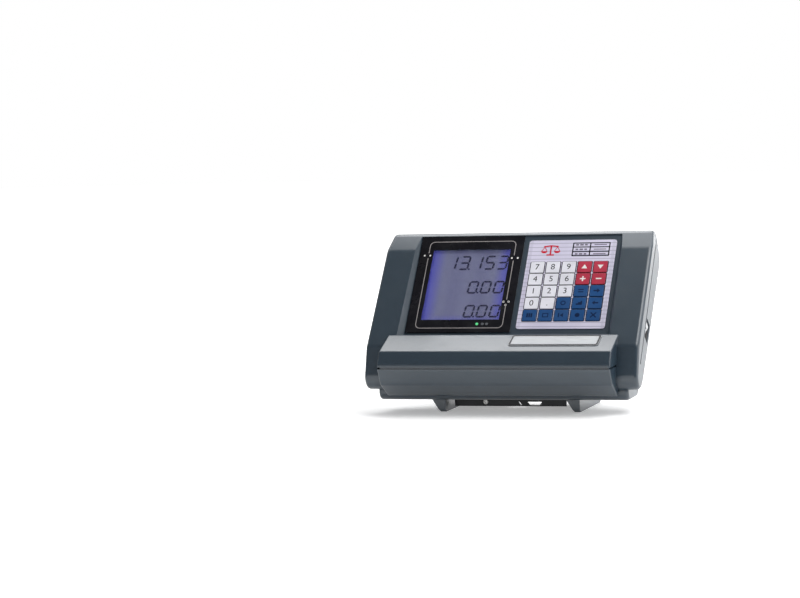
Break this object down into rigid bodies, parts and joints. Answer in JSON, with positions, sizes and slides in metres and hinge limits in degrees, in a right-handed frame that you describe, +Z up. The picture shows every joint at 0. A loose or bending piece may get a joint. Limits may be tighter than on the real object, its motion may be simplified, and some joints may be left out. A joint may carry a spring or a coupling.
{
  "type": "weighing indicator",
  "caption": "Leaning plastic weighing indicator with a square backlit display, a keypad, a front lip, two feet and a steel column bracket.",
  "frame": {"origin": "middle of the bounding box at the ground, under the feet", "axes": "+X to the right as seen from the front, +Y to the back, +Z up; X is the long way"},
  "size_m": [0.284, 0.1612, 0.1754],
  "materials": {
    "case_plastic": "satin slate-grey moulded plastic",
    "black_steel": "satin black paint on folded steel",
    "mask_print": "gloss black print behind a clear sheet",
    "clear_sheet": "clear acrylic",
    "lcd_face": "blue-violet backlit display",
    "light_guide": "diffusing light guide",
    "black_plastic": "moulded black plastic",
    "silicone": "conductive elastomer",
    "circuit_board": "green solder mask",
    "lamp_green": "translucent lamp lens",
    "overlay_film": "satin printed film",
    "key_white": "satin printed key",
    "key_red": "satin printed key",
    "key_blue": "satin printed key",
    "ribbon_film": "flat cable",
    "core_steel": "varnished laminations",
    "coil_copper": "taped winding",
    "battery_case": "dark battery case",
    "zinc_steel": "zinc-plated steel",
    "rocker_plastic": "gloss pale grey plastic",
    "plate_metal": "brushed aluminium plate"
  },
  "bodies": {
    "root": {"front_case": "case_plastic", "rear_case": "case_plastic", "left_foot": "case_plastic", "right_foot": "case_plastic", "column_bracket": "black_steel", "display_mask": "mask_print", "display_window": "clear_sheet", "lcd_cell": "lcd_face", "lcd_backlight": "light_guide", "lcd_frame": "black_plastic", "contact_strip": "silicone", "display_board": "circuit_board", "status_lamps": "lamp_green", "keypad_overlay": "overlay_film", "keypad_board": "circuit_board", "key_switches": "black_plastic", "keypad_ribbon": "ribbon_film", "display_ribbon": "ribbon_film", "main_board": "circuit_board", "board_parts": "black_plastic", "buzzer": "black_plastic", "transformer_core": "core_steel", "transformer_coil": "coil_copper", "battery": "battery_case", "battery_clamp": "zinc_steel", "power_switch": "black_plastic", "mains_gland": "black_plastic", "fuse_holder": "black_plastic", "loadcell_socket": "zinc_steel", "nameplate": "plate_metal", "case_screws": "zinc_steel", "inner_screws": "zinc_steel", "base_screws": "zinc_steel"},
    "key_r1c1": {"key_r1c1": "key_white"},
    "key_r1c2": {"key_r1c2": "key_white"},
    "key_r1c3": {"key_r1c3": "key_white"},
    "key_r1c4": {"key_r1c4": "key_red"},
    "key_r1c5": {"key_r1c5": "key_red"},
    "key_r2c1": {"key_r2c1": "key_white"},
    "key_r2c2": {"key_r2c2": "key_white"},
    "key_r2c3": {"key_r2c3": "key_white"},
    "key_r2c4": {"key_r2c4": "key_red"},
    "key_r2c5": {"key_r2c5": "key_red"},
    "key_r3c1": {"key_r3c1": "key_white"},
    "key_r3c2": {"key_r3c2": "key_white"},
    "key_r3c3": {"key_r3c3": "key_white"},
    "key_r3c4": {"key_r3c4": "key_blue"},
    "key_r3c5": {"key_r3c5": "key_blue"},
    "key_r4c1": {"key_r4c1": "key_white"},
    "key_r4c2": {"key_r4c2": "key_white"},
    "key_r4c3": {"key_r4c3": "key_blue"},
    "key_r4c4": {"key_r4c4": "key_blue"},
    "key_r4c5": {"key_r4c5": "key_blue"},
    "key_r5c1": {"key_r5c1": "key_blue"},
    "key_r5c2": {"key_r5c2": "key_blue"},
    "key_r5c3": {"key_r5c3": "key_blue"},
    "key_r5c4": {"key_r5c4": "key_blue"},
    "key_r5c5": {"key_r5c5": "key_blue"},
    "power_rocker": {"power_rocker": "rocker_plastic"},
    "fuse_cap": {"fuse_cap": "black_plastic"}
  },
  "joints": [
    {"name": "key_r1c1_press", "type": "slide", "parent": "root", "child": "key_r1c1", "axis": [0, 0.7877, -0.6161], "range_m": [0, 0.00035], "stiffness_N_per_m": 900, "springref_m": -0.0003},
    {"name": "key_r1c2_press", "type": "slide", "parent": "root", "child": "key_r1c2", "axis": [0, 0.7877, -0.6161], "range_m": [0, 0.00035], "stiffness_N_per_m": 900, "springref_m": -0.0003},
    {"name": "key_r1c3_press", "type": "slide", "parent": "root", "child": "key_r1c3", "axis": [0, 0.7877, -0.6161], "range_m": [0, 0.00035], "stiffness_N_per_m": 900, "springref_m": -0.0003},
    {"name": "key_r1c4_press", "type": "slide", "parent": "root", "child": "key_r1c4", "axis": [0, 0.7877, -0.6161], "range_m": [0, 0.00035], "stiffness_N_per_m": 900, "springref_m": -0.0003},
    {"name": "key_r1c5_press", "type": "slide", "parent": "root", "child": "key_r1c5", "axis": [0, 0.7877, -0.6161], "range_m": [0, 0.00035], "stiffness_N_per_m": 900, "springref_m": -0.0003},
    {"name": "key_r2c1_press", "type": "slide", "parent": "root", "child": "key_r2c1", "axis": [0, 0.7877, -0.6161], "range_m": [0, 0.00035], "stiffness_N_per_m": 900, "springref_m": -0.0003},
    {"name": "key_r2c2_press", "type": "slide", "parent": "root", "child": "key_r2c2", "axis": [0, 0.7877, -0.6161], "range_m": [0, 0.00035], "stiffness_N_per_m": 900, "springref_m": -0.0003},
    {"name": "key_r2c3_press", "type": "slide", "parent": "root", "child": "key_r2c3", "axis": [0, 0.7877, -0.6161], "range_m": [0, 0.00035], "stiffness_N_per_m": 900, "springref_m": -0.0003},
    {"name": "key_r2c4_press", "type": "slide", "parent": "root", "child": "key_r2c4", "axis": [0, 0.7877, -0.6161], "range_m": [0, 0.00035], "stiffness_N_per_m": 900, "springref_m": -0.0003},
    {"name": "key_r2c5_press", "type": "slide", "parent": "root", "child": "key_r2c5", "axis": [0, 0.7877, -0.6161], "range_m": [0, 0.00035], "stiffness_N_per_m": 900, "springref_m": -0.0003},
    {"name": "key_r3c1_press", "type": "slide", "parent": "root", "child": "key_r3c1", "axis": [0, 0.7877, -0.6161], "range_m": [0, 0.00035], "stiffness_N_per_m": 900, "springref_m": -0.0003},
    {"name": "key_r3c2_press", "type": "slide", "parent": "root", "child": "key_r3c2", "axis": [0, 0.7877, -0.6161], "range_m": [0, 0.00035], "stiffness_N_per_m": 900, "springref_m": -0.0003},
    {"name": "key_r3c3_press", "type": "slide", "parent": "root", "child": "key_r3c3", "axis": [0, 0.7877, -0.6161], "range_m": [0, 0.00035], "stiffness_N_per_m": 900, "springref_m": -0.0003},
    {"name": "key_r3c4_press", "type": "slide", "parent": "root", "child": "key_r3c4", "axis": [0, 0.7877, -0.6161], "range_m": [0, 0.00035], "stiffness_N_per_m": 900, "springref_m": -0.0003},
    {"name": "key_r3c5_press", "type": "slide", "parent": "root", "child": "key_r3c5", "axis": [0, 0.7877, -0.6161], "range_m": [0, 0.00035], "stiffness_N_per_m": 900, "springref_m": -0.0003},
    {"name": "key_r4c1_press", "type": "slide", "parent": "root", "child": "key_r4c1", "axis": [0, 0.7877, -0.6161], "range_m": [0, 0.00035], "stiffness_N_per_m": 900, "springref_m": -0.0003},
    {"name": "key_r4c2_press", "type": "slide", "parent": "root", "child": "key_r4c2", "axis": [0, 0.7877, -0.6161], "range_m": [0, 0.00035], "stiffness_N_per_m": 900, "springref_m": -0.0003},
    {"name": "key_r4c3_press", "type": "slide", "parent": "root", "child": "key_r4c3", "axis": [0, 0.7877, -0.6161], "range_m": [0, 0.00035], "stiffness_N_per_m": 900, "springref_m": -0.0003},
    {"name": "key_r4c4_press", "type": "slide", "parent": "root", "child": "key_r4c4", "axis": [0, 0.7877, -0.6161], "range_m": [0, 0.00035], "stiffness_N_per_m": 900, "springref_m": -0.0003},
    {"name": "key_r4c5_press", "type": "slide", "parent": "root", "child": "key_r4c5", "axis": [0, 0.7877, -0.6161], "range_m": [0, 0.00035], "stiffness_N_per_m": 900, "springref_m": -0.0003},
    {"name": "key_r5c1_press", "type": "slide", "parent": "root", "child": "key_r5c1", "axis": [0, 0.7877, -0.6161], "range_m": [0, 0.00035], "stiffness_N_per_m": 900, "springref_m": -0.0003},
    {"name": "key_r5c2_press", "type": "slide", "parent": "root", "child": "key_r5c2", "axis": [0, 0.7877, -0.6161], "range_m": [0, 0.00035], "stiffness_N_per_m": 900, "springref_m": -0.0003},
    {"name": "key_r5c3_press", "type": "slide", "parent": "root", "child": "key_r5c3", "axis": [0, 0.7877, -0.6161], "range_m": [0, 0.00035], "stiffness_N_per_m": 900, "springref_m": -0.0003},
    {"name": "key_r5c4_press", "type": "slide", "parent": "root", "child": "key_r5c4", "axis": [0, 0.7877, -0.6161], "range_m": [0, 0.00035], "stiffness_N_per_m": 900, "springref_m": -0.0003},
    {"name": "key_r5c5_press", "type": "slide", "parent": "root", "child": "key_r5c5", "axis": [0, 0.7877, -0.6161], "range_m": [0, 0.00035], "stiffness_N_per_m": 900, "springref_m": -0.0003},
    {"name": "power_rocker_tilt", "type": "hinge", "parent": "root", "child": "power_rocker", "pos_m": [0.1365, -0.00995, 0.07892], "axis": [0, -0.7877, 0.6161], "range_deg": [0, 16]},
    {"name": "fuse_cap_turn", "type": "hinge", "parent": "root", "child": "fuse_cap", "pos_m": [-0.092, 0.03096, 0.0553], "axis": [0, 0.7877, -0.6161], "range_deg": [0, 45]}
  ]
}
